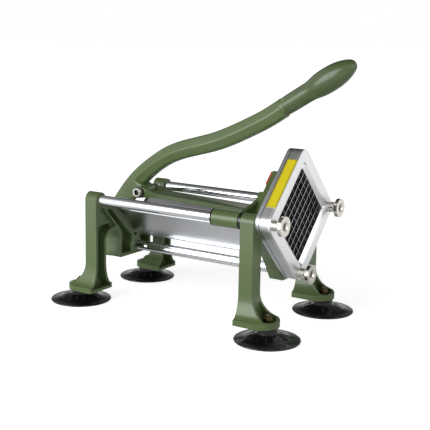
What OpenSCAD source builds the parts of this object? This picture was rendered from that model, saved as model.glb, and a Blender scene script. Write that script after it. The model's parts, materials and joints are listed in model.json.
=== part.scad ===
// Bench french fry cutter with suction feet: a lever and a link push a block of
// square fingers along a vee trough and through a grid of crossed blades.
// Millimetres. X runs forward to the blade side, Z is up, and z = 0 is the bench.
// x = 0 lies midway between the two cast frames, y = 0 is the plane of the lever.

/* [Frame] */
// Distance from x = 0 to the inner face of each cast frame
inner_x = 102; // [98:1:106]
// Thickness of the cast frames along X
cast_t = 17; // [15:1:19]
// Distance from y = 0 to each leg, guide rod and foot
side_y = 69; // [68:0.5:70]
// Height of the two guide rods and of the blade window's middle
rod_z = 130.4; // [129:0.2:132]
// Height of the single lower rod
low_rod_z = 63; // [62:0.5:64]
// Diameter of the three rods
rod_d = 12.5; // [11:0.5:13]
// Width of a leg
leg_w = 19; // [18:0.5:20]

/* [Feet] */
// Distance from x = 0 to the middle of each suction cup
cup_x = 135; // [133:1:137]
// Diameter of a suction cup
cup_d = 75; // [70:1:78]
// Height of a suction cup below the foot
cup_h = 16; // [15:0.5:18]
// Width of a foot
foot_w = 41; // [39:1:43]
// Height of the foot's upright rim
rim_h = 6.5; // [6:0.5:9]
// Height over which the leg flares out into the foot
flare_h = 29; // [26:1:34]

/* [Trough] */
// Height at which the two outer trough walls would meet
vee_z = 73.5; // [73:0.5:74]
// Sheet thickness of the trough
sheet_t = 1.5; // [1:0.1:1.6]
// Outer bend radius at the bottom of the trough
bend_r = 10.4; // [9:0.2:11]
// Distance from y = 0 to the lip of a trough wall
lip_y = 42.5; // [41:0.5:43]

/* [Blade head] */
// Outer side of the square blade frame
frame_side = 114.6; // [112:0.2:116]
// Side of the blade window
window_side = 78; // [77.6:0.2:78.4]
// Side of the opening at the front face, before the bevel
mouth_side = 87.8; // [86:0.2:89]
// Thickness of the back layer of the blade frame
back_t = 5; // [4:0.5:6]
// Thickness of the front layer of the blade frame
front_t = 14; // [13:0.5:15]
// Cells along one side of the window
cells = 8; // [8:1:8]
// Thickness of a blade
blade_t = 0.5; // [0.4:0.1:0.6]
// Depth of a blade along X
blade_deep = 9; // [8:0.5:9.5]

/* [Lever linkage] */
// Lever pivot, X and Z
pivot = [-154, 61];
// Pin between lever and link, X and Z
crank_pin = [-84, 135];
// Pin between link and carriage, X and Z
push_pin = [83, 124];
// Width of the link
link_w = 32; // [31:0.5:33]
// Width of the lever across Y
lever_w = 20; // [18:0.5:20.5]
// Distance from the lever's pivot forward to where the grip starts
lever_reach = 266; // [250:2:280]
// Height from the lever's pivot to where the grip starts
lever_rise = 193; // [185:1:200]
// Depth of the lever in its own plane
lever_deep = 22; // [20:0.5:24]
// Length of the round grip
grip_len = 98; // [90:1:105]
// Largest diameter of the grip
grip_d = 26; // [24:0.5:28]
// Diameter of the lever's pivot bolt
pivot_d = 10; // [8:0.5:11]
// Diameter of the link's two pins
pin_d = 8; // [6:0.5:8.5]

/* [Carriage] */
// Rear end of the guide sleeves when closed
sleeve_x = 64; // [62:1:66]
// Outer diameter of a guide sleeve
sleeve_d = 20; // [19:0.5:20.5]
// Half of the pusher head's side
head_half = 34.5; // [33:0.5:35]
// Half of the pusher block's side
block_half = 37.6; // [37:0.2:37.6]
// Width of one finger of the pusher block
finger_w = 7.4; // [6.8:0.2:7.6]

/* [Hidden] */

$fn = 48;
arc_steps = 8;
run_fit = 0.05;
slack = 0.3;
over = 1;
green = "olivedrab";
steel = "silver";
rubber = "#202022";

outer_x = inner_x + cast_t;
foot_z = cup_h;
rim_z = foot_z + rim_h;
flare_z = rim_z + flare_h;
foot_half = foot_w / 2;
leg_half = leg_w / 2;
foot_in = 7.5;
foot_round_x = cup_x - foot_in;
foot_tip_x = foot_round_x + foot_half;
floor_t = 5;
wall = 3.6;
web = 4;
pocket_in = 2;
pocket_wall = 4;
pocket_x = outer_x + pocket_in;
boss_d = 22;
block_low = 12;
sheet_in = 10;
strut_under = 8.9;
strut_end_z = rod_z - strut_under;
strut_rise = strut_end_z - vee_z;
vee_in = sheet_t * sqrt(2);
thread_d = 8;
screw_d = 5;
screw_head_d = 10;
screw_head_h = 2.8;
screw_depth = 12;
rod_seat = 12;
lug_in = 13;
lug_t = 7;
lug_r = 13;
frame_x = outer_x;
seam_x = frame_x + back_t;
face_x = seam_x + front_t;
frame_round = 12.5;
window_round = 3;
bevel = 3.4;
pitch = window_side / cells;
blade_inset = 3.8;
blade_face = face_x - blade_inset;
blade_step = 0.8;
blade_tail = 3.2;
blade_long = window_side + 2 * blade_tail;
groove_fit = 0.06;
nut_x = face_x + run_fit;
nut_d = 22.5;
nut_disc = 4.5;
nut_cone = 4;
nut_neck = 6.5;
nut_neck_d = 12.5;
nut_long = nut_neck + nut_cone + nut_disc;
bumper_t = 3.7;
bumper_d = 18;
sleeve_end = inner_x - bumper_t - slack;
bush_d = 16.5;
bush_flange = 2;
head_gap = 2;
head_end = outer_x - head_gap;
head_wall = 6;
arm_t = 5;
arm_x = sleeve_end - arm_t;
plate_t = 4;
tip_gap = 1.6;
tip_x = blade_face - tip_gap;
ear_t = 5;
lug_half = link_w / 2 - ear_t - slack;
stud_d = 6;

// Corner of a polygon replaced by an arc of radius r, a before it and b after it
function corner_arc(a, p, b, r) =
    let (u = (a - p) / norm(a - p), v = (b - p) / norm(b - p),
         half = acos(u * v) / 2, reach = r / tan(half),
         mid = p + (u + v) / norm(u + v) * r / sin(half),
         s = p + u * reach - mid, e = p + v * reach - mid,
         turn = 180 - 2 * half, way = sign(s.x * e.y - s.y * e.x))
    r == 0 ? [p] :
    [for (i = [0 : arc_steps]) let (t = way * turn * i / arc_steps)
        mid + [s.x * cos(t) - s.y * sin(t), s.x * sin(t) + s.y * cos(t)]];

// Outline through [x, y, radius] corners
function rounded(pts) =
    [for (i = [0 : len(pts) - 1])
        let (n = len(pts), a = pts[(i + n - 1) % n], p = pts[i], b = pts[(i + 1) % n])
        each corner_arc([a.x, a.y], [p.x, p.y], [b.x, b.y], p.z)];

// Points of a half outline and their mirror images in y
function both_sides(pts) = concat(pts, [for (i = [len(pts) - 1 : -1 : 0]) [-pts[i].x, pts[i].y]]);

// Half width of leg and foot at each step of the flare, less a wall
function flare_pts(narrow, wide, cut) =
    [for (i = [0 : arc_steps]) let (t = 90 * i / arc_steps)
        [narrow + (wide - narrow) * (1 - sin(t)) - cut, rim_z + flare_h * (1 - cos(t))]];

// Flat outline in (Y, Z) drawn out along X from x0
module along_x(x0, len) { translate([x0, 0, 0]) rotate([90, 0, 90]) linear_extrude(len) children(); }
// Flat outline in (X, Z) drawn out along Y, centred on y = 0
module along_y(len) { translate([0, len / 2, 0]) rotate([90, 0, 0]) linear_extrude(len) children(); }
// Round bar along X from x0 at a height
module bar_x(x0, len, d, y = 0, z = 0) { translate([x0, y, z]) rotate([0, 90, 0]) cylinder(h = len, d = d); }
// Round bar along Y centred on y = 0, at a point in (X, Z)
module bar_y(len, d, at) { translate([at.x, len / 2, at.y]) rotate([90, 0, 0]) cylinder(h = len, d = d); }
// Cone along X
module cone_x(x0, len, d0, d1, y = 0, z = 0) {
    translate([x0, y, z]) rotate([0, 90, 0]) cylinder(h = len, d1 = d0, d2 = d1);
}
module both_y() { children(); mirror([0, 1, 0]) children(); }
// Square standing on its corner round the window's middle, in (Y, Z)
module diamond(half, r) {
    translate([0, rod_z]) rotate(45)
        polygon(rounded([[half, half, r], [-half, half, r], [-half, -half, r], [half, -half, r]]));
}
// Head of a hexagon screw or a nut along Y
module hex_y(y0, h, across, at) {
    translate([at.x, y0 + h, at.y]) rotate([90, 0, 0]) cylinder(h = h, d = across / cos(30), $fn = 6);
}

// Middle line of the lever from the pivot into the grip, as shares of its reach, its rise,
// its depth and its width
lever_shares = [[0, 0, 0.55, 0.5], [0.06, 0.155, 0.55, 0.5], [0.124, 0.3, 0.55, 0.5],
                [0.214, 0.453, 0.52, 0.5], [0.331, 0.583, 0.49, 0.5], [0.451, 0.668, 0.5, 0.5],
                [0.669, 0.767, 0.49, 0.49], [0.872, 0.893, 0.43, 0.46], [1, 1, 0.4, 0.43],
                [1.03, 1.03, 0.37, 0.4]];
spine = [for (p = lever_shares) [pivot.x + p.x * lever_reach, pivot.y + p.y * lever_rise,
                                 p.z * lever_deep, p[3] * lever_w]];
grip_at = [spine[8].x, spine[8].y];
grip_dir = 32;
grip_shares = [[0, 0], [0, 0.36], [0.04, 0.38], [0.2, 0.375], [0.33, 0.4], [0.46, 0.46], [0.58, 0.5],
               [0.7, 0.495], [0.81, 0.45], [0.89, 0.365], [0.95, 0.25], [0.985, 0.13], [1, 0]];

// Whole cutter moved so that x = 0 is the middle of its length, as the last step of each piece
grip_tip_x = grip_at.x + max([for (p = grip_shares)
    p.x * grip_len * cos(grip_dir) + p.y * grip_d * sin(grip_dir)]);
mid_x = (grip_tip_x - cup_x - cup_d / 2) / 2;
module centred() { translate([-mid_x, 0, 0]) children(); }

// Cast frames

// Front outline of one leg with its foot, in (Y, Z), less a wall on every side
module leg_outline(cut, top) {
    side = concat([[foot_half - cut, foot_z + cut]], flare_pts(leg_half, foot_half, cut),
                  [[leg_half - cut, top]]);
    translate([side_y, 0]) {
        polygon(both_sides(side));
        translate([0, top]) circle(r = leg_half - cut);
    }
}

// Plan of one foot: straight at the inside, round at the outside
module foot_plan(cut) {
    translate([foot_round_x, side_y]) circle(r = foot_half - cut);
    translate([inner_x, side_y - foot_half + cut]) square([foot_round_x - inner_x, foot_w - 2 * cut]);
}

// Side outline of leg and foot, in (X, Z)
module leg_side() {
    tip = foot_tip_x - outer_x;
    polygon(concat([[inner_x, foot_z], [foot_tip_x, foot_z]],
        [for (p = flare_pts(0, tip, 0)) [outer_x + p.x, p.y]],
        [[outer_x, rod_z + leg_w], [inner_x, rod_z + leg_w]]));
}

// One leg with its foot, on the far side, with its open channel up to a height and the nut pocket
module cast_leg(channel_z) {
    difference() {
        intersection() {
            along_x(inner_x, foot_tip_x) leg_outline(0, rod_z);
            along_y(side_y * 4) leg_side();
            translate([0, 0, foot_z]) linear_extrude(rod_z) foot_plan(0);
        }
        along_x(inner_x - over, cast_t - web + over) leg_outline(wall, channel_z);
        intersection() {
            along_x(pocket_x, foot_tip_x) leg_outline(wall, flare_z);
            translate([0, 0, foot_z + floor_t]) linear_extrude(flare_h + leg_w) foot_plan(pocket_wall);
        }
        translate([cup_x, side_y, foot_z - over]) cylinder(h = floor_t + 2 * over, d = stud_d + 2 * slack);
        translate([cup_x, side_y, foot_z + floor_t])
            cylinder(h = washer_t + stud_out + slack, d = 2 * stud_d + 2 * slack);
    }
}

// Half of the cross beam that carries the trough; corners are [y, z, radius]
module beam(low, hollow) {
    difference() {
        along_x(inner_x, cast_t)
            polygon(rounded(concat([[0, vee_z, 0]], low, [[gap_half + over, strut_end_z, 0],
                [strut_rise, strut_end_z, top_r]])));
        along_x(inner_x - over, cast_t - web + over) polygon(rounded(hollow));
    }
}

// Lower edges and hollows of the beams; a turn is where the edge bends, [y, z above the vee, radius]
gap_half = side_y - leg_half;
edge_r = 2;
top_r = 3;
strut_r = 5;
strut_wall = 4.6;
vee_wall = 5;
beam_core = 8;
rear_turn = [32, 12.5, 9];
rear_low_z = low_rod_z - block_low;
arch_rise = 15;
arch_z = vee_z + arch_rise;
arch_r = (gap_half - rear_turn.x) / 2 - slack;
arch_y = (gap_half + rear_turn.x) / 2;
arch_foot_z = arch_z - arch_r;
rear_low = [[0, rear_low_z, 0], [rear_turn.x, rear_low_z, edge_r], [rear_turn.x, arch_z, arch_r],
            [gap_half, arch_z, arch_r], [gap_half, arch_foot_z - over, 0],
            [gap_half + over, arch_foot_z - over, 0]];
rib_y = rear_turn.x - wall;
rib_z = vee_z + rear_turn.y;
rib_end = [gap_half - over, strut_end_z - strut_wall];
rear_hollow = [[beam_core, rear_low_z + web, edge_r], [rib_y, rear_low_z + web, edge_r],
               [rib_y, rib_z, rear_turn.z - over], [rib_end.x, rib_end.y, edge_r],
               [strut_rise + edge_r, rib_end.y, edge_r], [beam_core, vee_z + beam_core - vee_wall, edge_r]];
// Web between leg, strut and arch: a shallow recess above, a deep pocket that opens into the leg's
// channel below, and a rib along the strut
rib_t = 2.4;
rib_slope = (rib_end.y - rib_z) / (rib_end.x - rib_y);
rib_low_z = rib_z - rib_t * norm([1, rib_slope]);
recess_deep = 4.5;
crown_r = 12;
channel_y = side_y + leg_half - wall;
crown_z = arch_z + 2 * strut_wall;
recess_top_z = strut_end_z - over;
recess_tip_y = arch_y - leg_half / 2;
rear_recess = [[arch_y, arch_foot_z, 0], [channel_y, arch_foot_z, 0],
               [channel_y, recess_top_z - leg_half / 2, edge_r],
               [rib_y + (recess_top_z - rib_low_z) / rib_slope, recess_top_z, edge_r],
               [recess_tip_y, rib_low_z + (recess_tip_y - rib_y) * rib_slope, 0]];
rear_pocket = [[arch_y, arch_foot_z, 0], [channel_y, arch_foot_z, 0], [channel_y, crown_z, crown_r],
               [arch_y + edge_r, crown_z, strut_r], [arch_y, arch_z + wall, 0]];
back_rib = 6;
front_turn = [27, 7, 5];
front_drop = 9;
front_low_z = low_rod_z - boss_d / 2;
front_low = [[0, front_low_z, 0], [beam_core, front_low_z, edge_r],
             [front_turn.x, vee_z + front_turn.y, front_turn.z],
             [gap_half, strut_end_z - front_drop, strut_r], [gap_half + over, strut_end_z - front_drop, 0]];
front_hollow = [[beam_core + vee_wall, vee_z - front_turn.y, edge_r / 2],
                [front_turn.x - wall, vee_z + front_turn.y + wall, strut_r - over],
                [gap_half - wall, strut_end_z - front_drop, edge_r],
                [gap_half - wall, strut_end_z - strut_wall, edge_r],
                [strut_rise + over, strut_end_z - strut_wall, edge_r],
                [beam_core + vee_wall, vee_z + beam_core, edge_r / 2]];

// Holes for the three rods, from x0 on
module rod_holes(x0, len, d) {
    both_y() bar_x(x0, len, d, side_y, rod_z);
    bar_x(x0, len, d, 0, low_rod_z);
}

// Recess in the web over the arch, outside the arch's rim
module web_outline(pts) {
    difference() {
        polygon(rounded(pts));
        translate([arch_y, arch_foot_z]) circle(r = gap_half - arch_y + wall);
    }
}

module rear_casting() {
    ledge_y = rear_turn.x;
    centred() color(green) mirror([1, 0, 0]) difference() {
        union() {
            both_y() cast_leg(arch_foot_z);
            both_y() beam(rear_low, rear_hollow);
            bar_x(inner_x, cast_t, boss_d, 0, low_rod_z);
            // Ribs behind the block's sides
            both_y() along_x(outer_x - over, back_rib + over)
                translate([rear_turn.x - wall, rear_low_z]) square([wall, arch_foot_z - rear_low_z]);
            // Low ledge behind the trough's rear end
            along_x(inner_x + sheet_in + slack, cast_t - sheet_in - slack) polygon([[0, vee_z - over],
                [-ledge_y, vee_z + ledge_y - over], [-ledge_y, vee_z + ledge_y + vee_in],
                [0, vee_z + vee_in], [ledge_y, vee_z + ledge_y + vee_in], [ledge_y, vee_z + ledge_y - over]]);
            // Two ears behind the beam for the lever's pivot bolt
            both_y() translate([0, lug_in + lug_t / 2, 0]) along_y(lug_t) {
                polygon([[outer_x - over, rear_low_z + over], [-pivot.x, pivot.y - lug_r],
                    [-pivot.x, pivot.y + lug_r], [outer_x - over, vee_z + lug_r]]);
                translate([-pivot.x, pivot.y]) circle(r = lug_r);
            }
        }
        both_y() along_x(inner_x - over, recess_deep + over) web_outline(rear_recess);
        both_y() along_x(inner_x - over, cast_t - web + over) web_outline(rear_pocket);
        rod_holes(inner_x - over, rod_seat + over, rod_d);
        rod_holes(inner_x, cast_t + over, screw_d);
        both_y() cone_x(outer_x - screw_head_h, screw_head_h, screw_d, screw_head_d, side_y, rod_z);
        cone_x(outer_x - screw_head_h, screw_head_h, screw_d, screw_head_d, 0, low_rod_z);
        mirror([1, 0, 0]) bar_y(link_w * 2, pivot_d, pivot);
    }
}

module front_casting() {
    centred() color(green) difference() {
        union() {
            both_y() cast_leg(rod_z - leg_w);
            both_y() beam(front_low, front_hollow);
            bar_x(inner_x, cast_t, boss_d, 0, low_rod_z);
        }
        rod_holes(inner_x - over, cast_t + 2 * over, rod_d);
    }
}

// Rods

stud_short = 2.5;
key_d = 3.4;
key_deep = 1.8;

// Rod seated in the rear frame, with a threaded end through the blade frame
module rod(y, z) {
    seat_x = -inner_x - rod_seat;
    centred() color(steel) difference() {
        union() {
            bar_x(seat_x, outer_x - seat_x, rod_d, y, z);
            bar_x(outer_x - over, face_x + nut_long - stud_short - outer_x + over, thread_d, y, z);
        }
        bar_x(seat_x - over, screw_depth + over, screw_d, y, z);
    }
}
module guide_rod_near() { rod(-side_y, rod_z); }
module guide_rod_far() { rod(side_y, rod_z); }
module lower_rod() { rod(0, low_rod_z); }

// Flush screw that holds one rod from behind
module rod_screw(y, z) {
    difference() {
        union() {
            cone_x(-outer_x, screw_head_h, screw_head_d, screw_d, y, z);
            bar_x(-outer_x, cast_t - rod_seat + screw_depth - over, screw_d, y, z);
        }
        translate([-outer_x - over, y, z]) rotate([0, 90, 0])
            cylinder(h = over + key_deep, d = key_d, $fn = 6);
    }
}
module rod_screws() {
    centred() color(steel) {
        rod_screw(-side_y, rod_z);
        rod_screw(side_y, rod_z);
        rod_screw(0, low_rod_z);
    }
}

// Trough

// One surface of the bent sheet as a line from lip to lip, at a radius about the bend
function vee_line(r) =
    let (mid = [0, vee_z + bend_r * sqrt(2)], n = [sin(45), -cos(45)],
         out = (lip_y - r * sin(45)) / cos(45))
    concat([mid + [-n.x, n.y] * r + [-1, 1] * out * cos(45)],
           [for (i = [-arc_steps : arc_steps]) mid + r * [sin(45 * i / arc_steps), -cos(45 * i / arc_steps)]],
           [mid + n * r + [1, 1] * out * cos(45)]);

module trough() {
    inner = vee_line(bend_r - sheet_t);
    centred() color(steel) along_x(-inner_x - sheet_in, inner_x + sheet_in + outer_x - slack)
        polygon(concat(vee_line(bend_r), [for (i = [len(inner) - 1 : -1 : 0]) inner[i]]));
}

// Blade head

// One set of blades, laid along one side of the window; cut notches take the other set
module blade_set(turn, front, thick, long, notch_from, notch_len) {
    translate([0, 0, rod_z]) rotate([45 + turn, 0, 0]) difference() {
        for (i = [1 : cells - 1])
            translate([front - blade_deep, -long / 2, i * pitch - window_side / 2 - thick / 2])
                cube([blade_deep, long, thick]);
        if (notch_len > 0)
            for (i = [1 : cells - 1])
                translate([notch_from, i * pitch - window_side / 2 - blade_t / 2 - groove_fit, -window_side])
                    cube([notch_len, blade_t + 2 * groove_fit, 2 * window_side]);
    }
}
lap_x = blade_face - blade_step / 2 - blade_deep / 2;
module blades_rising() {
    centred() color(steel)
        blade_set(0, blade_face, blade_t, blade_long, blade_face - blade_deep - over,
            lap_x - blade_face + blade_deep + over + groove_fit);
}
module blades_falling() {
    front = blade_face - blade_step;
    centred() color(steel)
        blade_set(90, front, blade_t, blade_long, lap_x - groove_fit, front - lap_x + 2 * over);
}

// Holes through the blade frame for the rods' threaded ends
module stud_holes() {
    rod_holes(frame_x - over, face_x - frame_x + 2 * over, thread_d + slack);
}

join_d = 4;
join_head_d = 8;
join_head = 2;
join_deep = 8;
join_key_d = 2.6;
join_key_deep = 1.2;

// Middles of the four sides of the blade frame, for the screws that join its layers
module at_sides() {
    reach = (frame_side + window_side) / 4;
    for (i = [0 : 3])
        translate([0, 0, rod_z]) rotate([45 + 90 * i, 0, 0]) translate([0, reach, 0]) children();
}

module blade_frame_back() {
    centred() color("gainsboro") difference() {
        along_x(frame_x, back_t) diamond(frame_side / 2, frame_round);
        along_x(frame_x - over, back_t + 2 * over) diamond(window_side / 2, window_round);
        stud_holes();
        at_sides() {
            bar_x(frame_x - over, back_t + 2 * over, join_d);
            cone_x(frame_x, join_head, join_head_d, join_d);
        }
    }
}

module blade_frame_front() {
    fall = blade_face - blade_step;
    centred() color("gainsboro") difference() {
        along_x(seam_x, front_t) diamond(frame_side / 2, frame_round);
        along_x(seam_x - over, front_t + 2 * over) diamond(window_side / 2, window_round);
        // Bevel round the mouth, one slope along each side
        for (i = [0 : 3]) translate([0, 0, rod_z]) rotate([45 + 90 * i, 0, 0])
            translate([0, mouth_side / 2, 0]) rotate([90, 0, 0]) linear_extrude(mouth_side)
                polygon([[face_x - bevel, window_side / 2 - over], [face_x - bevel, window_side / 2],
                    [face_x, mouth_side / 2], [face_x + over, mouth_side / 2],
                    [face_x + over, window_side / 2 - over]]);
        stud_holes();
        blade_set(0, blade_face, blade_t + 2 * groove_fit, blade_long + 2 * groove_fit, 0, 0);
        blade_set(90, fall, blade_t + 2 * groove_fit, blade_long + 2 * groove_fit, 0, 0);
        // The grooves run out at the seam, so the blades drop in from behind
        for (turn = [0, 90]) translate([seam_x - blade_face + blade_deep - over, 0, 0])
            blade_set(turn, blade_face, blade_t + 2 * groove_fit, blade_long + 2 * groove_fit, 0, 0);
        at_sides() bar_x(seam_x - over, join_deep + over, join_d);
    }
}

module frame_screws() {
    centred() color(steel) at_sides() difference() {
        union() {
            cone_x(frame_x, join_head, join_head_d, join_d);
            bar_x(frame_x, back_t + join_deep - slack, join_d);
        }
        translate([frame_x - over, 0, 0]) rotate([0, 90, 0])
            cylinder(h = over + join_key_deep, d = join_key_d, $fn = 6);
    }
}

// Yellow strip on the near upper side of the front layer
label_back = 32;
label_long = 67;
label_rim = 0.95;
label_t = 0.4;
module label_strip() {
    centred() color("gold") translate([0, 0, rod_z]) rotate([45, 0, 0])
        translate([seam_x + label_rim, -label_back, frame_side / 2])
            cube([front_t - 2 * label_rim, label_long, label_t]);
}

sink_deep = 1.6;
nut_slope = 3;
nut_groove = [2.6, 0.9, 0.8];

// Nut with a round disc, turned by hand on a rod's threaded end
module thumb_nut(y, z) {
    centred() color("lightgray") difference() {
        union() {
            bar_x(nut_x, nut_neck, nut_neck_d, y, z);
            cone_x(nut_x + nut_neck, nut_cone, nut_neck_d, nut_d - nut_slope, y, z);
            bar_x(nut_x + nut_neck + nut_cone, nut_disc, nut_d, y, z);
        }
        bar_x(nut_x - over, nut_long + 2 * over, thread_d + 2 * run_fit, y, z);
        cone_x(nut_x + nut_long - sink_deep, sink_deep + run_fit, thread_d + 2 * slack,
            thread_d + 2 * sink_deep, y, z);
        translate([nut_x + nut_groove.x, y, z]) rotate([0, 90, 0]) rotate_extrude()
            translate([nut_neck_d / 2 - nut_groove.z, 0]) square([nut_groove.z + over, nut_groove.y]);
    }
}
module thumb_nut_near() { thumb_nut(-side_y, rod_z); }
module thumb_nut_far() { thumb_nut(side_y, rod_z); }
module thumb_nut_bottom() { thumb_nut(0, low_rod_z); }

// Rubber rings on the guide rods, which stop the carriage at the front frame
module stop_bumpers() {
    centred() color(rubber) both_y() difference() {
        bar_x(inner_x - bumper_t, bumper_t, bumper_d, side_y, rod_z);
        bar_x(inner_x - bumper_t - over, bumper_t + 2 * over, rod_d, side_y, rod_z);
    }
}

// Carriage

arm_lift = 1.6;
arm_low_z = vee_z + vee_in + arm_lift;
arm_in = 22;
lip_clear = 2.5;
rim_in = 14;
rim_out = 24;
tongue_r = 8;
head_r = 3;
post_y = 33;
post_d = 14;
post_deep = 12;

// Half outline of the plate between head and sleeve, in (Y, Z)
module arm_outline() {
    knee = lip_y + lip_clear;
    polygon(rounded([[arm_in, arm_low_z + arm_in, 0], [knee, arm_low_z + knee, head_r],
        [side_y - 0.3 * sleeve_d, rod_z - 0.35 * sleeve_d, 0],
        [side_y - 0.2 * sleeve_d, rod_z + 0.45 * sleeve_d, 0],
        [side_y - 0.45 * sleeve_d, rod_z + 0.49 * sleeve_d, edge_r],
        [0.9 * head_half, rod_z + 0.49 * head_half, 0.26 * head_half],
        [arm_in, rod_z + 0.75 * head_half, 0]]));
}

module carriage() {
    sleeve_len = sleeve_end - sleeve_x;
    centred() color(green) difference() {
        union() {
            both_y() bar_x(sleeve_x, sleeve_len, sleeve_d, side_y, rod_z);
            both_y() along_x(arm_x, arm_t) arm_outline();
            along_x(sleeve_end, head_end - sleeve_end) diamond(head_half, head_r);
            // Rim that ties the arms to the head
            both_y() along_x(sleeve_end - over, 2 * over)
                polygon([[rim_in, arm_low_z + rim_in + edge_r], [rim_out, arm_low_z + rim_out + edge_r],
                    [rim_out, rod_z + 0.65 * head_half], [rim_in, rod_z + 0.87 * head_half]]);
            // Tongue between the link's two tines
            along_y(2 * lug_half) {
                translate(push_pin) circle(r = tongue_r);
                translate([push_pin.x, push_pin.y - tongue_r])
                    square([sleeve_end - push_pin.x + over, 2 * tongue_r]);
            }
        }
        both_y() bar_x(sleeve_x - over, sleeve_len + 2 * over, bush_d, side_y, rod_z);
        // Hollow of the head, open to the front and closed by the pusher block
        difference() {
            along_x(sleeve_end + head_wall, head_end) diamond(head_half - head_wall, head_r);
            for (i = [0 : 3]) translate([0, 0, rod_z]) rotate([90 * i, 0, 0])
                bar_x(sleeve_end, cast_t * 3, post_d, post_y);
        }
        for (i = [0 : 3]) translate([0, 0, rod_z]) rotate([90 * i, 0, 0])
            bar_x(head_end - post_deep, post_deep + over, join_d, post_y);
        bar_y(link_w * 2, pin_d, push_pin);
    }
}

bush_long = 15;

// Plain bush in one end of each sleeve
module bush(x0, len, flange) {
    both_y() difference() {
        union() {
            bar_x(x0, len, bush_d, side_y, rod_z);
            if (flange > 0) bar_x(x0 - flange, flange, sleeve_d - 2 * slack, side_y, rod_z);
        }
        bar_x(x0 - flange - over, len + flange + 2 * over, rod_d + 2 * run_fit, side_y, rod_z);
    }
}
module rear_bushes() { centred() color(rubber) bush(sleeve_x, bush_long, bush_flange); }
module front_bushes() { centred() color(rubber) bush(sleeve_end - bush_long, bush_long, 0); }

block_r = 9.5;
post_head = 2;
post_head_d = 7;

// Block of fingers, one for each cell, on a common plate
module pusher_block() {
    lane = cells * pitch / 2 - pitch / 2;
    centred() color(rubber) difference() {
        union() {
            along_x(head_end, plate_t) diamond(block_half, block_r);
            intersection() {
                along_x(head_end + plate_t - over, tip_x - head_end - plate_t + over)
                    diamond(block_half, block_r);
                translate([0, 0, rod_z]) rotate([45, 0, 0])
                    for (i = [0 : cells - 1], j = [0 : cells - 1])
                        translate([head_end, i * pitch - lane - finger_w / 2, j * pitch - lane - finger_w / 2])
                            cube([tip_x - head_end, finger_w, finger_w]);
            }
        }
        for (i = [0 : 3]) translate([0, 0, rod_z]) rotate([90 * i, 0, 0]) {
            bar_x(head_end - over, plate_t + 2 * over, join_d, post_y);
            bar_x(head_end + plate_t - post_head, tip_x, post_head_d, post_y);
        }
    }
}

module pusher_screws() {
    centred() color(steel) for (i = [0 : 3]) translate([0, 0, rod_z]) rotate([90 * i, 0, 0]) difference() {
        union() {
            bar_x(head_end + plate_t - post_head, post_head, post_head_d, post_y);
            bar_x(head_end - post_deep + over, post_deep - over + plate_t - post_head, join_d, post_y);
        }
        translate([head_end + plate_t - join_key_deep, post_y, 0]) rotate([0, 90, 0])
            cylinder(h = over + join_key_deep, d = join_key_d, $fn = 6);
    }
}

// Small square plate on the back of the head
badge_half = 9.3;
badge_r = 1.5;
badge_t = 2.7;
badge_down = 15;
module badge_plate() {
    centred() color("firebrick") translate([0, 0, head_half * sqrt(2) - badge_down])
        along_x(sleeve_end - badge_t, badge_t) diamond(badge_half, badge_r);
}

pin_rim = 2.5;

// Headed pin in the carriage's tongue, over which the link hooks
module push_pin_bolt() {
    long = link_w + 2 * slack;
    centred() color(steel) {
        bar_y(long, pin_d, push_pin);
        both_y() translate([0, long / 2 + pin_rim / 2, 0]) bar_y(pin_rim, pin_d + 2 * pin_rim, push_pin);
    }
}

// Link

ear_r = 7.5;
tine_r = 7.5;
bar_t = 5;
plate_rear = crank_pin + ear_r * [3.2, 0.05];
plate_front = push_pin + tine_r * [-0.4, 1.01];
web_end = push_pin.x - 1.53 * tine_r;

// Side outline of one cheek of the link at rest
module cheek() {
    polygon([crank_pin + ear_r * [0, 0.93], crank_pin + ear_r * [1.07, 0.76], plate_rear, plate_front,
        push_pin + tine_r * [0.53, 0.07], push_pin + tine_r * [0.4, -0.4], push_pin + tine_r * [-0.87, -0.13],
        plate_front - [0.8 * tine_r, bar_t], plate_rear - [0, bar_t],
        crank_pin + ear_r * [1.07, -0.76], crank_pin + ear_r * [0, -0.93]]);
}

module link() {
    notch = 1.2 * tine_r;
    deep = 2 * link_w;
    centred() color(green) difference() {
        union() {
            along_y(link_w) cheek();
            bar_y(link_w, 2 * ear_r, crank_pin);
            bar_y(link_w, 2 * tine_r, push_pin);
        }
        // Room for the lever's lug and for the carriage's tongue
        translate([crank_pin.x - deep, -lug_half - slack, crank_pin.y - deep])
            cube([deep + plate_rear.x - crank_pin.x - 1.07 * ear_r, 2 * (lug_half + slack), 2 * deep]);
        translate([web_end, -lug_half - slack, push_pin.y - deep])
            cube([deep, 2 * (lug_half + slack), 2 * deep]);
        bar_y(link_w + 2 * over, pin_d, crank_pin);
        // Hook over the carriage's pin, open downward
        bar_y(link_w + 2 * over, pin_d + 2 * slack, push_pin);
        along_y(link_w + 2 * over) translate(push_pin)
            polygon([[-pin_d / 2 - slack, 0], [pin_d / 2 + slack, 0], [0.9 * pin_d, -notch],
                [-0.9 * pin_d, -notch]]);
    }
}

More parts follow.
